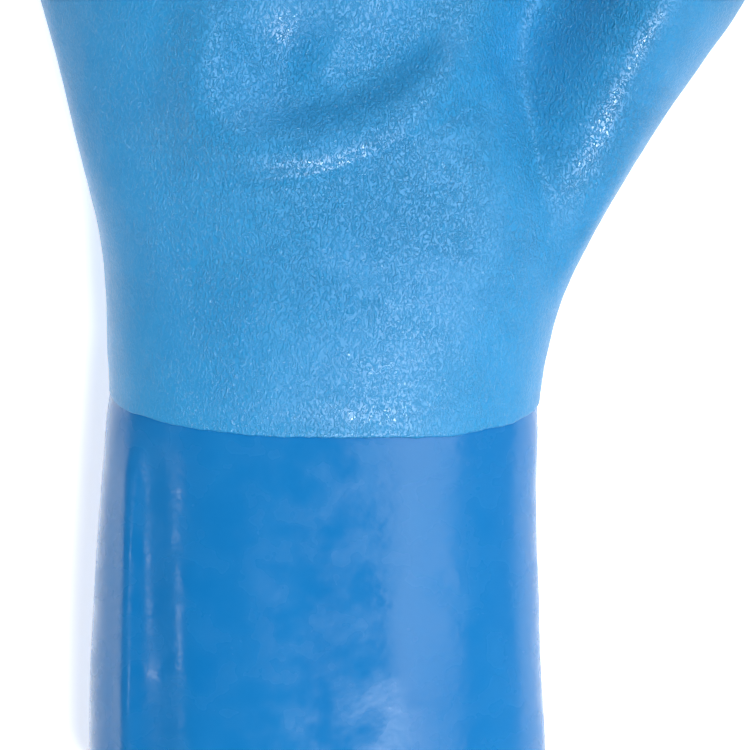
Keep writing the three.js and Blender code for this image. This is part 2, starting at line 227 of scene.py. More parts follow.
class GloveSizes(bpy.types.PropertyGroup):
    cuff_length: length_of("Cuff Length", "Wrist crease to the cuff's rim", 0.115)
    coat_below_wrist: length_of("Coat below Wrist", "Wrist crease to the palm side's dip line", 0.028)
    palm_length: length_of("Palm Length", "Wrist crease to the web of the middle finger", 0.106)
    cuff_width: length_of("Cuff Width", "Width of the cuff at its rim", 0.106)
    cuff_depth: length_of("Cuff Depth", "Depth of the cuff at its rim", 0.057)
    wrist_width: length_of("Wrist Width", "Width at the wrist", 0.098)
    wrist_depth: length_of("Wrist Depth", "Depth at the wrist", 0.052)
    palm_depth: length_of("Palm Depth", "Depth of the hand at the fingers' roots", 0.04)
    finger_length: length_of("Finger Length", "Middle finger, from its web", 0.09)
    finger_width: length_of("Finger Width", "Width of the middle finger", 0.0275)
    finger_gap: length_of("Finger Gap", "Gap between two fingers at their roots", 0.003)
    finger_curl: bpy.props.FloatProperty(
        name="Finger Curl", description="Angle of the middle fingertip above the palm", subtype="ANGLE",
        default=math.radians(42))
    thumb_length: length_of("Thumb Length", "From the thumb's root to its tip", 0.084)
    thumb_width: length_of("Thumb Width", "Width of the thumb", 0.03)
    thumb_rise: length_of("Thumb Rise", "How far the thumb's tip lies above its root", 0.017)
    base_wall: length_of("Glove Wall", "Thickness of the knit with its first dip", 0.0012)
    coat_lift: length_of("Coat Height", "How far the coat's face stands out from the base glove", 0.001)
    coat_edge: length_of("Coat Edge Height", "Thickness of the coat at the dip line", 0.0005)
    rest_depth: length_of("Rest Depth", "How far the underside is pressed flat", 0.0016)
    dip_lean: bpy.props.FloatProperty(
        name="Dip Lean", default=0.3,
        description="Rise of the dip line towards the fingers for each metre of depth")
    dip_slant: bpy.props.FloatProperty(
        name="Dip Slant", default=0.022,
        description="Fall of the dip line for each metre towards the thumb")
    fold_depth: length_of("Fold Depth", "Height of a fold in the palm whose own height is 1", 0.0029)


class GloveFinish(bpy.types.PropertyGroup):
    coat_colour: colour_of("Coat", "Colour of the rough coat", (0.009, 0.29, 0.66, 1))
    # Paler coat colour: its random clouds, and painted sheen on the wrinkles' ridges
    coat_clouds_and_sheen: colour_of("Coat, Raised", "Colour of the coat's ridges", (0.027, 0.365, 0.76, 1))
    cuff_colour: colour_of("Cuff", "Colour of the smooth PVC", (0.004, 0.18, 0.51, 1))
    cuff_pale: colour_of("Cuff, Mottled", "Colour of the smooth PVC's clouds", (0.011, 0.215, 0.56, 1))
    knit_colour: colour_of("Knit", "Colour of the knitted inside", (0.62, 0.64, 0.62, 1))
    wrinkle_size: length_of("Wrinkle Size", "Length of the coat's short wrinkles", 0.0009)
    wrinkle_height: length_of("Wrinkle Height", "Height of the coat's short wrinkles", 0.00026)
    lump_size: length_of("Lump Size", "Size of the coat's soft lumps", 0.009)
    lump_height: length_of("Lump Height", "Height of the coat's soft lumps", 0.00022)
    seed: bpy.props.IntProperty(name="Seed", description="Start of the random patterns", default=11)


def placed(name, data):
    """A new object in the scene."""
    thing = bpy.data.objects.new(name, data)
    bpy.context.scene.collection.objects.link(thing)
    return thing


def smoothstep(value, low, high):
    share = np.clip((value - low) / (high - low), 0, 1)
    return share * share * (3 - 2 * share)


def unit(vectors):
    return vectors / np.linalg.norm(vectors, axis=-1, keepdims=True)


def palm_width(sizes):
    return sizes.finger_gap * (len(FINGERS) - 1) + sizes.finger_width * sum(f[2] for f in FINGERS)


def bow(share, power):
    return max(0, 1 - abs(share) ** power) ** (1 / power)


def section_ring(sizes, y, left, right, depth, lean, arc=0):
    """The corners of a section, from the little finger's side over the palm and back under the hand."""
    middle = (right - left) / 2
    half = (right + left) / 2

    def corner(share, height, column):
        x = middle + share * half
        dip = lean * (sizes.dip_lean * (depth - height) - sizes.dip_slant * x)
        return np.array((x, y + arc * ROOT_ARC[column] * sizes.palm_length + dip, height))

    ring = [corner(-1, depth / 2, 0)]
    for i in range(TOP):
        ring.append(corner(ACROSS_SHARES[i], depth / 2 * (1 + bow(ACROSS_SHARES[i], PALM_ROUNDNESS)), i))
    ring.append(corner(1, depth / 2, TOP - 1))
    for i in reversed(range(TOP)):
        ring.append(corner(ACROSS_SHARES[i], depth / 2 * (1 - bow(ACROSS_SHARES[i], BACK_ROUNDNESS)), i))
    return ring


def all_sections(sizes):
    rings = []
    for along, flare, left, right, lean in CUFF_SECTIONS:
        half = (sizes.wrist_width + flare * (sizes.cuff_width - sizes.wrist_width)) / 2
        rings.append(section_ring(
            sizes, -sizes.cuff_length + along * (sizes.cuff_length - sizes.coat_below_wrist),
            left * half, right * half,
            sizes.wrist_depth + flare * (sizes.cuff_depth - sizes.wrist_depth), lean))
    half = palm_width(sizes) / 2
    for along, left, right, top, arc, lean, _ in HAND_SECTIONS:
        rings.append(section_ring(
            sizes, along * sizes.palm_length, left * half, right * half,
            sizes.palm_depth + top * (sizes.wrist_depth - sizes.palm_depth), lean, arc))
    return rings


class Cage:
    """The control mesh of the glove: corner points and four-sided faces, open at the cuff's rim."""

    def __init__(self, sizes):
        self.points = []
        self.faces = []
        rings = [[self.add(p) for p in ring] for ring in all_sections(sizes)]
        marks = [s[6] for s in HAND_SECTIONS]
        self.thumb_start = len(CUFF_SECTIONS) + marks.index(True)
        self.thumb_end = self.thumb_start + sum(marks)
        self.cuff_faces = (len(CUFF_SECTIONS) - 1) * RING
        self.add_walls(rings)
        self.add_fingers(sizes, rings[-1])
        self.add_thumb(sizes, rings)
        used, numbers = np.unique(self.faces, return_inverse=True)
        self.points = np.array(self.points)[used]
        self.faces = [tuple(map(int, f)) for f in numbers.reshape(-1, 4)]

    def add(self, point):
        self.points.append(np.array(point, dtype=float))
        return len(self.points) - 1

    def add_walls(self, rings):
        for r in range(len(rings) - 1):
            for k in range(RING):
                following = (k + 1) % RING
                if not (self.thumb_start <= r < self.thumb_end and k in (TOP, TOP + 1)):
                    self.faces.append(
                        (rings[r][k], rings[r][following], rings[r + 1][following], rings[r + 1][k]))

    def extend(self, ring, points):
        """Joins a ring to a new one at these points."""
        following = [self.add(p) for p in points]
        for k in range(len(ring)):
            n = (k + 1) % len(ring)
            self.faces.append((ring[k], ring[n], following[n], following[k]))
        return following

    def close(self, ring, tip):
        centre = self.add(tip)
        for k in range(0, len(ring), 2):
            self.faces.append((ring[k], ring[k + 1], ring[(k + 2) % len(ring)], centre))

    def add_fingers(self, sizes, root):
        def top_at(i):
            return root[1 + i]

        def under_at(i):
            return root[RING - 1 - i]

        webs = {0: root[0], TOP - 1: root[TOP + 1]}
        back = np.array((0, WEB_BACK * sizes.palm_length, 0))
        for i, *_ in FINGERS[1:]:
            upper = self.points[top_at(i)]
            lower = self.points[under_at(i)]
            web = (upper + lower) / 2
            web[1] = max(upper[1], lower[1])
            webs[i] = self.add(web)
            self.points[top_at(i)] = upper + (web - upper) * WEB_DROP - back
            self.points[under_at(i)] = lower + (web - lower) * WEB_DROP - back

        for i, length, width, fan, curl in FINGERS:
            ring = [top_at(i), top_at(i + 1), top_at(i + 2), webs[i + 2],
                    under_at(i + 2), under_at(i + 1), under_at(i), webs[i]]
            centre = sum(self.points[v] for v in ring) / len(ring)
            heading = np.array((math.sin(math.radians(fan)), math.cos(math.radians(fan)), 0))
            side = np.array((heading[1], -heading[0], 0))
            done = 0
            for along, girth, curled in FINGER_SECTIONS + ((1, None, 1),):
                angle = curled * curl * sizes.finger_curl
                direction = heading * math.cos(angle) + np.array((0, 0, math.sin(angle)))
                centre = centre + direction * (along - done) * length * sizes.finger_length
                done = along
                if girth is None:
                    self.close(ring, centre)
                    continue
                half = girth * width * sizes.finger_width / 2
                up = np.cross(side, direction)
                ring = self.extend(ring, [
                    centre + side * half * math.cos(a) + up * half * FINGER_DEPTH_SHARE * math.sin(a)
                    for a in map(math.radians, FINGER_ANGLES)])

    def add_thumb(self, sizes, rings):
        between = rings[self.thumb_start + 1:self.thumb_end]
        ring = [rings[self.thumb_start][k] for k in (TOP, TOP + 1, TOP + 2)]
        ring += [r[TOP + 2] for r in between]
        ring += [rings[self.thumb_end][k] for k in (TOP + 2, TOP + 1, TOP)]
        ring += [r[TOP] for r in reversed(between)]
        across, along, height = THUMB_ROOT
        root = np.array(
            (across * palm_width(sizes) / 2, along * sizes.palm_length, height * sizes.palm_depth))
        reach = np.array((sizes.thumb_length, sizes.thumb_length, sizes.thumb_rise))
        angles = [math.radians(THUMB_TWIST - k * 360 / len(ring)) for k in range(len(ring))]
        for across, along, turn, girth, deep, rise in THUMB_SECTIONS:
            turn = math.radians(turn)
            centre = root + reach * (across, along, rise)
            outward = np.array((math.cos(turn), -math.sin(turn), 0)) * girth * sizes.thumb_width / 2
            up = np.array((0, 0, deep * sizes.thumb_width / 2))
            ring = self.extend(ring, [centre + outward * math.cos(a) + up * math.sin(a) for a in angles])
        self.close(ring, root + reach * THUMB_TIP)

    def through_corners(self, rounds):
        """Moves the corners so that the smooth surface passes through the places where they were."""
        reached = smooth_matrix(len(self.points), self.faces)
        wanted = self.points.copy()
        for _ in range(rounds):
            self.points += wanted - reached @ self.points
        return self


def smooth_matrix(count, faces):
    """A matrix that takes the corners of a Catmull-Clark mesh to their places on its smooth surface."""
    used = {(f[k], f[(k + 1) % 4]) for f in faces for k in range(4)}
    matrix = np.zeros((count, count))
    valence = np.zeros(count)
    ends = {}
    for f in faces:
        for k in range(4):
            a, b, opposite = f[k], f[(k + 1) % 4], f[(k + 2) % 4]
            matrix[a, b] += 4
            matrix[a, opposite] += 1
            valence[a] += 1
            if (b, a) not in used:
                ends.setdefault(a, []).append(b)
                ends.setdefault(b, []).append(a)
    for v in range(count):
        n = valence[v]
        matrix[v, v] += n * n
        matrix[v] /= n * (n + 5)
    for v, beside in ends.items():
        matrix[v] = 0
        matrix[v, v] = 2 / 3
        for end in beside:
            matrix[v, end] += 1 / 6
    return matrix


class Surface:
    """A smooth version of the cage: points, four-sided faces, normals, and which faces are the hand's."""

    def __init__(self, cage, level):
        mesh = bpy.data.meshes.new("cage")
        mesh.from_pydata([tuple(p) for p in cage.points], [], cage.faces)
        zone = mesh.attributes.new("hand", "INT", "FACE")
        zone.data.foreach_set("value", [int(i >= cage.cuff_faces) for i in range(len(cage.faces))])
        holder = placed("cage", mesh)
        smoother = holder.modifiers.new("Smooth", "SUBSURF")
        smoother.levels = level
        smoother.render_levels = level
        smoother.use_limit_surface = True
        smoother.quality = 4
        result = bpy.data.meshes.new_from_object(
            holder.evaluated_get(bpy.context.evaluated_depsgraph_get()))
        self.points = np.empty(len(result.vertices) * 3)
        result.vertices.foreach_get("co", self.points)
        self.points = self.points.reshape(-1, 3)
        corners = np.empty(len(result.loops), dtype=np.int64)
        result.loops.foreach_get("vertex_index", corners)
        self.faces = corners.reshape(-1, 4)
        hand = np.empty(len(self.faces), dtype=np.int32)
        result.attributes["hand"].data.foreach_get("value", hand)
        self.hand = hand.astype(bool)
        bpy.data.objects.remove(holder)
        bpy.data.meshes.remove(mesh)
        bpy.data.meshes.remove(result)
        self.find_normals()

    def find_normals(self):
        a, b, c, d = (self.points[self.faces[:, k]] for k in range(4))
        facing = np.cross(c - a, d - b)
        normals = np.zeros_like(self.points)
        for k in range(4):
            np.add.at(normals, self.faces[:, k], facing)
        self.normals = unit(normals)

    def dip_line(self):
        """The points where the hand's faces meet the cuff's."""
        return np.intersect1d(self.faces[self.hand], self.faces[~self.hand])

    def bare_cuff(self):
        """The cuff's points, without the dip line's."""
        return np.setdiff1d(self.faces[~self.hand], self.faces[self.hand])

    def raise_fold(self, route, width, height):
        """Raises the palm's side along a route, by a height that fades over a width to both sides."""
        palm_side = smoothstep(self.normals[:, 2], *PALM_SIDE)
        away = np.full(len(self.points), np.inf)
        for x, y in curve_through(route):
            away = np.minimum(away, np.hypot(self.points[:, 0] - x, self.points[:, 1] - y))
        self.points += self.normals * (palm_side * height * np.exp(-(away / width) ** 2))[:, None]

    def only_hand(self):
        """The hand's faces and their points alone."""
        faces = self.faces[self.hand]
        kept, numbers = np.unique(faces, return_inverse=True)
        self.points = self.points[kept]
        self.normals = self.normals[kept]
        self.faces = numbers.reshape(-1, 4)
        return self

    def edge_loop(self):
        """The points along the open edge, in the order of its faces."""
        used = {(int(f[k]), int(f[(k + 1) % 4])) for f in self.faces for k in range(4)}
        following = {a: b for a, b in used if (b, a) not in used}
        loop = [min(following)]
        while following[loop[-1]] != loop[0]:
            loop.append(following[loop[-1]])
        return loop


def curve_through(route, steps=40):
    """Points along a smooth curve through a route, spaced as a centripetal Catmull-Rom spline."""
    route = [np.array(p, dtype=float) for p in route]
    ends = [2 * route[0] - route[1], *route, 2 * route[-1] - route[-2]]
    points = []
    for step in range(steps + 1):
        place = (len(route) - 1) * step / steps
        i = min(int(place), len(route) - 2)
        share = place - i
        a, b, c, d = ends[i:i + 4]
        before, middle, after = (math.sqrt(np.linalg.norm(q - p)) for p, q in ((a, b), (b, c), (c, d)))
        leaving = ((b - a) / before - (c - a) / (before + middle) + (c - b) / middle) * middle
        arriving = ((c - b) / middle - (d - b) / (middle + after) + (d - c) / after) * middle
        points.append(b + leaving * share + (3 * (c - b) - 2 * leaving - arriving) * share ** 2
                      + (2 * (b - c) + leaving + arriving) * share ** 3)
    return points


def folded_surface(sizes, level):
    """The glove's smooth surface with its folds and its neck, before it is pressed flat below."""
    surface = Surface(Cage(sizes).through_corners(CORNER_ROUNDS), level)
    half = palm_width(sizes) / 2
    shares = np.array((half, sizes.palm_length))
    for height, width, route in (*FOLDS.values(), *FINE_FOLDS.values()):
        surface.raise_fold(np.array(route) * shares, width * 2 * half, height * sizes.fold_depth)
    for height, width, route in CUFF_FOLDS:
        surface.raise_fold(np.array(route) * MM, width * MM, height * MM)
    away = distance_to(surface.points, surface.points[surface.dip_line()])
    reach = np.full(len(away), NECK_ON_HAND)
    reach[surface.bare_cuff()] = NECK_ON_CUFF
    surface.points -= surface.normals * (NECK_DEPTH * np.exp(-(away / reach) ** 2))[:, None]
    surface.find_normals()
    return surface


def lifted(sizes, surface, offset):
    """The surface moved out by offset, and pressed flat where the glove lies on its back."""
    moved = surface.points + surface.normals * np.reshape(offset, (-1, 1))
    low = -sizes.coat_below_wrist
    under_coat = smoothstep(surface.points[:, 1], low - COAT_ROOM, low)
    floor = under_coat * sizes.coat_lift - offset
    height = moved[:, 2] - sizes.rest_depth - floor
    moved[:, 2] = floor + (height + np.sqrt(height ** 2 + FLAT_SOFTNESS ** 2)) / 2
    return moved


def distance_to(points, targets):
    """How far each point lies from the nearest of the targets."""
    tree = kdtree.KDTree(len(targets))
    for i, target in enumerate(targets):
        tree.insert(target, i)
    tree.balance()
    return np.array([tree.find(p)[2] for p in points])


class Wall:
    """A closed skin that is put together from layers of points."""

    def __init__(self):
        self.points = []
        self.count = 0
        self.faces = []
        self.inner = []

    def layer(self, points):
        start = self.count
        self.points.append(points)
        self.count += len(points)
        return start

    def skin(self, faces, start, inner=False):
        ordered = faces[:, ::-1] if inner else faces
        self.faces += (ordered + start).tolist()
        self.inner += [inner] * len(faces)

    def band(self, ring, following, inner=False):
        """Faces from the open edge's ring to the next one."""
        for k in range(len(ring)):
            n = (k + 1) % len(ring)
            self.faces.append([ring[n], ring[k], following[k], following[n]])
            self.inner.append(inner)

    def turned(self, ring, turns, centre, start, side):
        """Joins a ring at centre + start to rings that turn by degrees towards centre + side."""
        for turn in turns:
            angle = math.radians(turn)
            first = self.layer(centre + start * math.cos(angle) + side * math.sin(angle))
            following = list(range(first, first + len(ring)))
            self.band(ring, following, inner=turn > 90)
            ring = following
        return ring

    def fans(self, ring, coarse):
        """Faces from a ring to one that has a whole number of times fewer points."""
        times = len(ring) // len(coarse)
        for i, a in enumerate(coarse):
            b = coarse[(i + 1) % len(coarse)]
            for k in range(times):
                near = a if k < times // 2 else b
                self.faces.append([ring[(i * times + k + 1) % len(ring)], ring[i * times + k], near])
                self.inner.append(True)
            self.faces.append([ring[i * times + times // 2], a, b])
            self.inner.append(True)

    def make(self, name, shift, relief):
        """The piece, with the relief's share on its first layer's points and a mark on its inner faces."""
        relief = np.append(relief, np.zeros(self.count - len(relief)))
        points = np.vstack(self.points) + shift
        mesh = bpy.data.meshes.new(name)
        mesh.from_pydata(points.tolist(), [], self.faces)
        mesh.polygons.foreach_set("use_smooth", [True] * len(mesh.polygons))
        mesh.attributes.new("relief", "FLOAT", "POINT").data.foreach_set("value", relief)
        mesh.attributes.new("inner_face", "BOOLEAN", "FACE").data.foreach_set("value", self.inner)
        return placed(name, mesh)


def add_knit_rows(mesh):
    """A UV map in stitches: wales round the cuff and courses along it."""
    rows = mesh.uv_layers.new(name="knit_rows")
    corners = np.empty(len(mesh.loops), dtype=np.int64)
    mesh.loops.foreach_get("vertex_index", corners)
    points = np.empty(len(mesh.vertices) * 3)
    mesh.vertices.foreach_get("co", points)
    points = points.reshape(-1, 3)[corners]
    turn = np.arctan2(points[:, 2] - KNIT_AXIS[1], points[:, 0] - KNIT_AXIS[0]) / (2 * math.pi)
    first = np.empty(len(mesh.polygons), dtype=np.int64)
    mesh.polygons.foreach_get("loop_start", first)
    size = np.empty(len(mesh.polygons), dtype=np.int64)
    mesh.polygons.foreach_get("loop_total", size)
    turn += np.round(np.repeat(turn[first], size) - turn)
    rows.data.foreach_set("uv", np.column_stack((turn * KNIT_WALES, points[:, 1] / KNIT_COURSE)).ravel())


class Nodes:
    """A node tree and short ways to add to it."""

    def __init__(self, tree):
        self.nodes = tree.nodes
        self.links = tree.links

    def add(self, kind, **settings):
        node = self.nodes.new(kind)
        for name, value in settings.items():
            setattr(node, name, value)
        return node

    def feed(self, socket, value):
        """Gives a socket a plain value or a link."""
        if isinstance(value, (int, float, tuple, str)):
            socket.default_value = value
        else:
            self.links.new(value, socket)

    def maths(self, operation, first, second=0.0, third=None, clamp=False):
        node = self.add("ShaderNodeMath", operation=operation, use_clamp=clamp)
        self.feed(node.inputs[0], first)
        self.feed(node.inputs[1], second)
        if third is not None:
            self.feed(node.inputs[2], third)
        return node.outputs[0]

    def between(self, value, low, high, to_low=0.0, to_high=1.0):
        """Goes smoothly from one number at low to another at high."""
        node = self.add("ShaderNodeMapRange", interpolation_type="SMOOTHSTEP")
        for socket, number in zip(node.inputs[:5], (value, low, high, to_low, to_high)):
            self.feed(socket, number)
        return node.outputs[0]


def dipped_skin_tree():
    """Geometry nodes that give a skin its soft lumps and wrinkles and its two finishes."""
    tree = bpy.data.node_groups.new("dipped_skin", "GeometryNodeTree")
    tree.interface.new_socket("Geometry", in_out="INPUT", socket_type="NodeSocketGeometry")
    for name, kind in (("Lump Height", "Float"), ("Lump Size", "Float"), ("Wrinkle Height", "Float"),
                       ("Wrinkle Size", "Float"), ("Seed", "Int"), ("Outside Finish", "Material"),
                       ("Inside Finish", "Material")):
        tree.interface.new_socket(name, in_out="INPUT", socket_type="NodeSocket" + kind)
    tree.interface.new_socket("Geometry", in_out="OUTPUT", socket_type="NodeSocketGeometry")
    skin = Nodes(tree)
    source = skin.add("NodeGroupInput").outputs
    place = skin.add("GeometryNodeInputPosition").outputs[0]

    def attribute(name, kind):
        node = skin.add("GeometryNodeInputNamedAttribute", data_type=kind)
        skin.feed(node.inputs["Name"], name)
        return node.outputs[0]

    def rolling(height, size, detail):
        pattern = skin.add("ShaderNodeTexNoise", noise_dimensions="4D")
        skin.feed(pattern.inputs["Detail"], detail)
        skin.feed(pattern.inputs["Vector"], place)
        skin.feed(pattern.inputs["W"], source["Seed"])
        skin.feed(pattern.inputs["Scale"], skin.maths("DIVIDE", 1, source[size]))
        centred = skin.maths("SUBTRACT", pattern.outputs[0], 0.5)
        return skin.maths("MULTIPLY", skin.maths("MULTIPLY", centred, 2), source[height])

    def finished(geometry, material, selection=True):
        node = skin.add("GeometryNodeSetMaterial")
        skin.feed(node.inputs["Geometry"], geometry)
        skin.feed(node.inputs["Selection"], selection)
        skin.feed(node.inputs["Material"], material)
        return node.outputs[0]

    lumps = rolling("Lump Height", "Lump Size", 1)
    wrinkles = rolling("Wrinkle Height", "Wrinkle Size", 1.5)
    rise = skin.maths("MULTIPLY", skin.maths("ADD", lumps, wrinkles), attribute("relief", "FLOAT"))
    offset = skin.add("ShaderNodeVectorMath", operation="SCALE")
    skin.feed(offset.inputs[0], skin.add("GeometryNodeInputNormal").outputs[0])
    skin.feed(offset.inputs["Scale"], rise)
    moved = skin.add("GeometryNodeSetPosition")
    skin.feed(moved.inputs["Geometry"], source["Geometry"])
    skin.feed(moved.inputs["Offset"], offset.outputs[0])
    realized = skin.add("GeometryNodeRealizeInstances")
    skin.feed(realized.inputs[0], moved.outputs[0])
    outer = finished(realized.outputs[0], source["Outside Finish"])
    both = finished(outer, source["Inside Finish"], attribute("inner_face", "BOOLEAN"))
    skin.feed(skin.add("NodeGroupOutput").inputs[0], both)
    return tree


def roughen(piece, values):
    """Runs the skin's nodes on a piece and keeps the result as its plain mesh."""
    tree = bpy.data.node_groups.get("dipped_skin") or dipped_skin_tree()
    skin = piece.modifiers.new("Dipped Skin", "NODES")
    skin.node_group = tree
    for item in tree.interface.items_tree:
        if item.item_type == "SOCKET" and item.in_out == "INPUT" and item.name in values:
            skin[item.identifier] = values[item.name]
    plain = bpy.data.meshes.new_from_object(
        piece.evaluated_get(bpy.context.evaluated_depsgraph_get()))
    piece.modifiers.remove(skin)
    old = piece.data
    piece.data = plain
    bpy.data.meshes.remove(old)
    plain.name = piece.name
    for name in ("relief", "inner_face"):
        if name in plain.attributes:
            plain.attributes.remove(plain.attributes[name])


# The shader's inputs, by the names that the finishes use
SHADER_INPUTS = {
    "colour": "Base Color",
    "roughness": "Roughness",
    "specular": "Specular IOR Level",
    "sheen": "Sheen Weight",
    "normal": "Normal",
    "glow": "Emission Color",
    "glow_strength": "Emission Strength",
}


class Finish(Nodes):
    """A material, and more ways to add its nodes."""

    def __init__(self, name):
        self.material = bpy.data.materials.new(name)
        self.material.use_nodes = True
        super().__init__(self.material.node_tree)
        self.shader = next(n for n in self.nodes if n.type == "BSDF_PRINCIPLED")
        self.place = self.add("ShaderNodeTexCoord").outputs["Object"]

    def give(self, **values):
        """Sets or links inputs of the shader, by the names above."""
        for name, value in values.items():
            self.feed(self.shader.inputs[SHADER_INPUTS[name]], value)

    def apart(self, vector):
        node = self.add("ShaderNodeSeparateXYZ")
        self.feed(node.inputs[0], vector)
        return node.outputs

    def mapped(self, turn=0, scale=(1, 1, 1), shift=(0, 0, 0)):
        """The place on the glove, turned by degrees about the vertical, scaled and shifted."""
        node = self.add("ShaderNodeMapping")
        self.feed(node.inputs["Vector"], self.place)
        node.inputs["Rotation"].default_value = (0, 0, math.radians(turn))
        node.inputs["Scale"].default_value = scale
        node.inputs["Location"].default_value = shift
        return node.outputs[0]

    def noise(self, vector, scale, detail=2.0, roughness=0.5, distortion=0.0):
        node = self.add("ShaderNodeTexNoise")
        self.feed(node.inputs["Vector"], vector)
        node.inputs["Scale"].default_value = scale
        node.inputs["Detail"].default_value = detail
        node.inputs["Roughness"].default_value = roughness
        node.inputs["Distortion"].default_value = distortion
        return node.outputs[0]

    def mix(self, share, first, second):
        node = self.add("ShaderNodeMix", data_type="RGBA")
        colours = [s for s in node.inputs if s.type == "RGBA"]
        self.feed(node.inputs[0], share)
        self.feed(colours[0], first)
        self.feed(colours[1], second)
        return next(s for s in node.outputs if s.type == "RGBA")

    def bump(self, height, distance, normal=None):
        node = self.add("ShaderNodeBump")
        node.inputs["Strength"].default_value = 1
        node.inputs["Distance"].default_value = distance
        self.feed(node.inputs["Height"], height)
        if normal is not None:
            self.feed(node.inputs["Normal"], normal)
        return node.outputs[0]


def rough_pvc(finish):
    """Rough dipped PVC: short wrinkles, fainter at the wrist and by the little finger, on soft clouds, with
    painted sheen that makes the wrinkles' ridges paler.
    """
    pvc = Finish("rough_dipped_pvc")
    across = 1 / (WRINKLE_BREADTH * finish.wrinkle_size)
    along = 1 / finish.wrinkle_size
    slant, counter_slant = WRINKLE_SLANTS
    slanted = pvc.mapped(slant, (across, along, across))
    crossing = pvc.mapped(counter_slant, (across, along, across), (3.1, 1.7, 0.4))
    wrinkle = pvc.noise(slanted, 1, detail=1.5, distortion=0.7)
    counter = pvc.noise(crossing, 0.85, detail=1.5, distortion=0.8)
    grain = pvc.maths("MAXIMUM", pvc.between(wrinkle, 0.48, 0.66), pvc.between(counter, 0.5, 0.68))
    patch = pvc.noise(pvc.place, 70, detail=4, roughness=0.6)
    height = pvc.maths("MULTIPLY", grain, pvc.between(patch, 0.36, 0.64, to_low=0.6))
    place = pvc.apart(pvc.place)
    height = pvc.maths("MULTIPLY", height, pvc.between(place["Y"], *WRIST_FADE))
    height = pvc.maths("MULTIPLY", height, pvc.between(place["X"], *OUTER_FADE))
    cloud = pvc.noise(pvc.place, 26, detail=4, roughness=0.55)
    blotch = pvc.noise(pvc.place, 210, roughness=0.6)
    # Colour share: random clouds and blotches, plus painted sheen that lifts the wrinkles' ridges towards
    # the paler colour
    share = pvc.maths("MULTIPLY_ADD", height, 0.4, pvc.maths("MULTIPLY_ADD", cloud, 0.9, -0.3))
    share = pvc.maths("MULTIPLY_ADD", pvc.maths("SUBTRACT", blotch, 0.5), 0.5, share, clamp=True)
    small = pvc.bump(pvc.noise(pvc.place, 1900, detail=1), 0.00003)
    pvc.give(colour=pvc.mix(share, tuple(finish.coat_colour), tuple(finish.coat_clouds_and_sheen)),
             roughness=pvc.between(grain, 0, 1, to_low=0.42, to_high=0.28), specular=0.85,
             normal=pvc.bump(height, finish.wrinkle_height, small))
    return pvc.material


def smooth_pvc(finish):
    """Smooth dipped PVC: satin gloss, with faint clouds and runs along the cuff."""
    pvc = Finish("smooth_dipped_pvc")
    runs = pvc.mapped(scale=(60, 14, 60))
    cloud = pvc.noise(runs, 1, detail=3, roughness=0.55, distortion=0.4)
    mottle = pvc.noise(pvc.place, 120, detail=2.5, roughness=0.55)
    share = pvc.maths("MULTIPLY_ADD", cloud, 1.3, pvc.maths("MULTIPLY_ADD", mottle, 0.5, -0.45), clamp=True)
    ripple = pvc.bump(pvc.noise(pvc.place, 110, detail=3, roughness=0.55), 0.0002)
    pvc.give(colour=pvc.mix(share, tuple(finish.cuff_colour), tuple(finish.cuff_pale)),
             roughness=pvc.between(mottle, 0.3, 0.7, to_low=0.16, to_high=0.32), specular=0.5,
             normal=pvc.bump(pvc.noise(pvc.place, 900, detail=1), 0.000012, ripple))
    return pvc.material


def cotton_knit(finish):
    """Plain knit: columns of small V stitches, a little fuzzy, with painted shade where the stitches lie
    low.
    """
    knit = Finish("cotton_knit")
    place = knit.apart(knit.add("ShaderNodeUVMap", uv_map="knit_rows").outputs[0])
    wale = knit.maths("FRACT", place[0])
    arm = knit.maths("ABSOLUTE", knit.maths("SUBTRACT", wale, 0.5))
    course = knit.maths("FRACT", knit.maths("MULTIPLY_ADD", arm, 1.4, place[1]))
    loop = knit.maths("SINE", knit.maths("MULTIPLY", course, math.pi))
    half_turn = knit.maths("MULTIPLY", knit.maths("FRACT", knit.maths("MULTIPLY", arm, 2)), math.pi)
    column = knit.maths("SINE", half_turn)
    height = knit.maths("MULTIPLY", loop, knit.between(column, 0, 0.8, to_low=0.35))
    fuzz = knit.noise(knit.place, 1500, detail=3, roughness=0.7)
    height = knit.maths("MULTIPLY_ADD", fuzz, 0.35, height)
    # Painted shade: the colour darkens to this where the stitches and their fuzz lie low
    dark = tuple(c * 0.55 for c in finish.knit_colour[:3]) + (1,)
    knit.give(colour=knit.mix(knit.between(height, 0.1, 1), dark, tuple(finish.knit_colour)),
              roughness=0.9, sheen=0.25, normal=knit.bump(height, 0.00025))
    return knit.material


def white_paper():
    """Pale matt paper that glows a little, more on the little finger's side."""
    paper = Finish("white_paper")
    pale = paper.mix(paper.noise(paper.place, 3.0), (0.93, 0.93, 0.93, 1), (0.96, 0.96, 0.96, 1))
    paper.give(colour=pale, roughness=0.9, glow=(1, 1, 1, 1),
               glow_strength=paper.between(paper.apart(paper.place)["X"], *FLOOR_GLOW))
    return paper.material


def finish_named(name, maker, finish):
    return bpy.data.materials.get(name) or maker(finish)


def wrist_to_frame(sizes):
    """The move from the wrist crease's place to the frame's."""
    low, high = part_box("base_glove")
    surface = lifted(sizes, folded_surface(sizes, LINING_LEVEL), 0)
    middle = (surface.min(axis=0) + surface.max(axis=0)) / 2
    return np.array(((low[0] + high[0]) / 2 - middle[0], low[1] + sizes.cuff_length, 0))


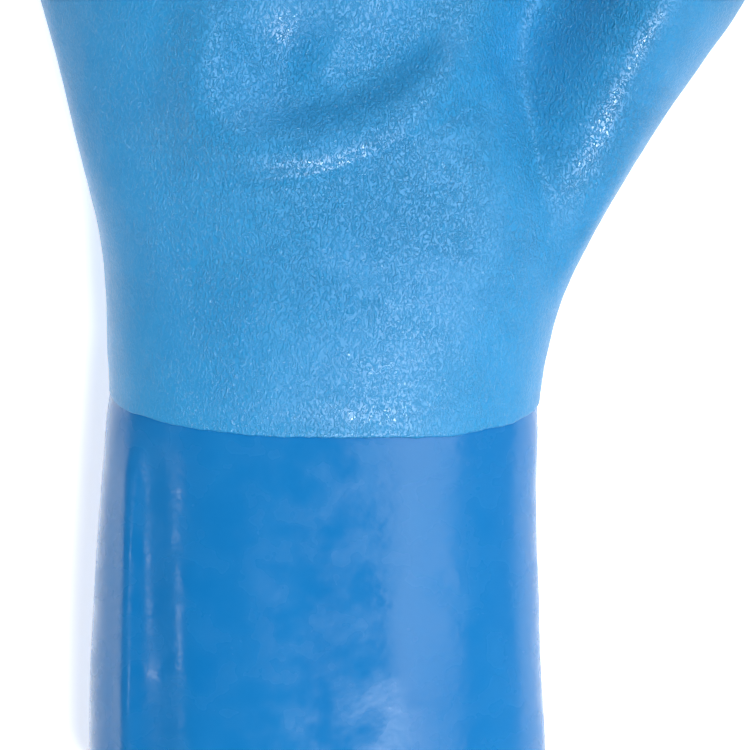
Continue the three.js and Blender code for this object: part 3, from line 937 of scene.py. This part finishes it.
class GLOVE_OT_base_glove(bpy.types.Operator):
    """Makes the smooth base glove: dipped outside, knitted inside, open at the cuff's rim"""
    bl_idname = "glove.base_glove"
    bl_label = "Base Glove"

    def execute(self, context):
        sizes, finish = context.scene.glove_sizes, context.scene.glove_finish
        surface = folded_surface(sizes, BASE_LEVEL)
        loop = surface.edge_loop()
        if len(loop) != RING * 2 ** BASE_LEVEL:
            raise RuntimeError(f"The cuff's rim has {len(loop)} points")
        outer = lifted(sizes, surface, 0)
        inner = lifted(sizes, surface, -sizes.base_wall)
        bare = surface.bare_cuff()
        from_dip_line = distance_to(surface.points[bare], surface.points[surface.dip_line()])
        relief = np.zeros(len(outer))
        relief[bare] = smoothstep(from_dip_line, *BASE_FADE)
        relief[loop] = 0
        relief *= smoothstep(outer[:, 2], *ABOVE_FLOOR)

        wall = Wall()
        first = wall.layer(outer)
        wall.skin(surface.faces, first)
        rim = wall.turned(
            [first + v for v in loop], RIM_TURNS, (outer[loop] + inner[loop]) / 2,
            (outer[loop] - inner[loop]) / 2, np.array((0, -sizes.base_wall / 2, 0)))
        last = wall.layer(inner)
        wall.skin(surface.faces, last, inner=True)
        wall.band(rim, [last + v for v in loop], inner=True)
        piece = wall.make("base_glove_skin", wrist_to_frame(sizes), relief)
        add_knit_rows(piece.data)
        roughen(piece, {
            **BASE_RELIEF, "Seed": finish.seed,
            "Outside Finish": finish_named("smooth_dipped_pvc", smooth_pvc, finish),
            "Inside Finish": finish_named("cotton_knit", cotton_knit, finish),
        })
        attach(piece, "root")
        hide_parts("base_glove")
        return {"FINISHED"}


class GLOVE_OT_grip_coat(bpy.types.Operator):
    """Makes the rough coat over the hand, with a soft uneven edge at the dip line"""
    bl_idname = "glove.grip_coat"
    bl_label = "Grip Coat"

    def execute(self, context):
        sizes, finish = context.scene.glove_sizes, context.scene.glove_finish
        surface = folded_surface(sizes, COAT_LEVEL).only_hand()
        lining = folded_surface(sizes, LINING_LEVEL).only_hand()
        loop = surface.edge_loop()
        coarse = lining.edge_loop()
        if len(loop) != 2 ** (COAT_LEVEL - LINING_LEVEL) * len(coarse):
            raise RuntimeError(f"The dip line has {len(loop)} and {len(coarse)} points")
        nearest = np.argmin(np.linalg.norm(surface.points[loop] - lining.points[coarse[0]], axis=1))
        loop = loop[nearest:] + loop[:nearest]

        away = distance_to(surface.points, surface.points[loop])
        to_cuff = unit(np.array((0, -1, 0)) + surface.normals * surface.normals[:, 1:2])
        waves = sum(height * np.array([noise.noise(Vector(p) * rate) for p in surface.points])
                    for height, rate in EDGE_WAVES)
        waves *= 1 - smoothstep(away, 0, EDGE_WAVES_REACH)
        surface.points -= to_cuff * waves[:, None]
        thumb_side = smoothstep(surface.points[:, 0], *EDGE_SPAN)
        edge = sizes.coat_edge * (EDGE_SHARE + EDGE_GAIN * thumb_side)
        height = edge + (sizes.coat_lift - edge) * smoothstep(away, 0, EDGE_ROUNDING)
        outer = lifted(sizes, surface, height)
        foot = lifted(sizes, surface, EDGE_FOOT)[loop]

        wall = Wall()
        first = wall.layer(outer)
        wall.skin(surface.faces, first)
        ring = wall.turned(
            [first + v for v in loop], EDGE_TURNS, foot, outer[loop] - foot,
            to_cuff[loop] * (edge[loop] * EDGE_BULGE)[:, None])
        last = wall.layer(lifted(sizes, lining, COAT_FOOT))
        wall.skin(lining.faces, last, inner=True)
        wall.fans(ring, [last + v for v in coarse])
        relief = smoothstep(away, *COAT_FADE) * smoothstep(outer[:, 2], *ABOVE_FLOOR)
        piece = wall.make("grip_coat_skin", wrist_to_frame(sizes), relief)
        coat = finish_named("rough_dipped_pvc", rough_pvc, finish)
        roughen(piece, {
            **COAT_WRINKLES, "Lump Height": finish.lump_height, "Lump Size": finish.lump_size,
            "Seed": finish.seed + 1, "Outside Finish": coat, "Inside Finish": coat,
        })
        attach(piece, "root")
        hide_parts("grip_coat")
        return {"FINISHED"}


class GLOVE_OT_stage(bpy.types.Operator):
    """Makes the pale floor, the studio's lights and walls, and the camera above the wrist"""
    bl_idname = "glove.stage"
    bl_label = "Stage"

    def execute(self, context):
        scene = context.scene
        self.floor()
        for name, values in LIGHTS.items():
            self.light(name, *values)
        scene.world = self.room()
        scene.view_settings.view_transform = "Standard"
        scene.camera = self.camera()
        return {"FINISHED"}

    @staticmethod
    def floor():
        corners = [(x * FLOOR_HALF, y * FLOOR_HALF, 0) for x, y in ((-1, -1), (1, -1), (1, 1), (-1, 1))]
        mesh = bpy.data.meshes.new("stage_floor")
        mesh.from_pydata(corners, [], [(0, 1, 2, 3)])
        mesh.materials.append(white_paper())
        return placed("stage_floor", mesh)

    @staticmethod
    def light(name, place, size, power, tint):
        lamp = bpy.data.lights.new(name, "AREA")
        lamp.size = size
        lamp.energy = power
        lamp.color = tint
        holder = placed(name, lamp)
        holder.location = place
        holder.rotation_euler = (Vector(LIGHT_AIM) - Vector(place)).to_track_quat("-Z", "Y").to_euler()

    @staticmethod
    def room():
        """A room with pale walls, darker overhead and a little darker on the little finger's side."""
        world = bpy.data.worlds.new("white_room")
        world.use_nodes = True
        walls = Nodes(world.node_tree)
        place = walls.add("ShaderNodeSeparateXYZ")
        walls.feed(place.inputs[0], walls.add("ShaderNodeTexCoord").outputs["Generated"])
        height = walls.between(place.outputs["Z"], *WALL_FADE)
        side = walls.maths("MULTIPLY_ADD", place.outputs["X"], *WALL_SIDES)
        background = walls.nodes["Background"]
        walls.feed(background.inputs["Color"], WALL_COLOUR)
        walls.feed(background.inputs["Strength"], walls.maths("MULTIPLY", height, side))
        return world

    @staticmethod
    def camera():
        """The camera, tilted from straight above towards the fingers."""
        tilt = math.radians(CAMERA_TILT)
        lens = bpy.data.cameras.new("camera")
        lens.lens = CAMERA_LENS
        lens.clip_end = 20
        camera = placed("camera", lens)
        camera.location = Vector(CAMERA_AIM) + CAMERA_DISTANCE * Vector((0, math.sin(tilt), math.cos(tilt)))
        camera.rotation_euler = (-tilt, 0, 0)
        return camera


class GLOVE_PT_panel(bpy.types.Panel):
    """The glove's sizes, finishes and steps"""
    bl_label = "Dipped Work Glove"
    bl_idname = "GLOVE_PT_panel"
    bl_space_type = "VIEW_3D"
    bl_region_type = "UI"
    bl_category = "Glove"

    def draw(self, context):
        for group in (context.scene.glove_sizes, context.scene.glove_finish):
            box = self.layout.box()
            for name in group.bl_rna.properties.keys():
                if name not in ("rna_type", "name"):
                    box.prop(group, name)
        for operator in OPERATORS:
            self.layout.operator(operator.bl_idname)


OPERATORS = (GLOVE_OT_base_glove, GLOVE_OT_grip_coat, GLOVE_OT_stage)
CLASSES = (GloveSizes, GloveFinish, *OPERATORS, GLOVE_PT_panel)


def register():
    for cls in CLASSES:
        bpy.utils.register_class(cls)
    bpy.types.Scene.glove_sizes = bpy.props.PointerProperty(type=GloveSizes)
    bpy.types.Scene.glove_finish = bpy.props.PointerProperty(type=GloveFinish)


def unregister():
    del bpy.types.Scene.glove_finish
    del bpy.types.Scene.glove_sizes
    for cls in reversed(CLASSES):
        bpy.utils.unregister_class(cls)


def main():
    register()
    bpy.ops.glove.base_glove()
    bpy.ops.glove.grip_coat()
    bpy.ops.glove.stage()


if __name__ == "__main__":
    main()
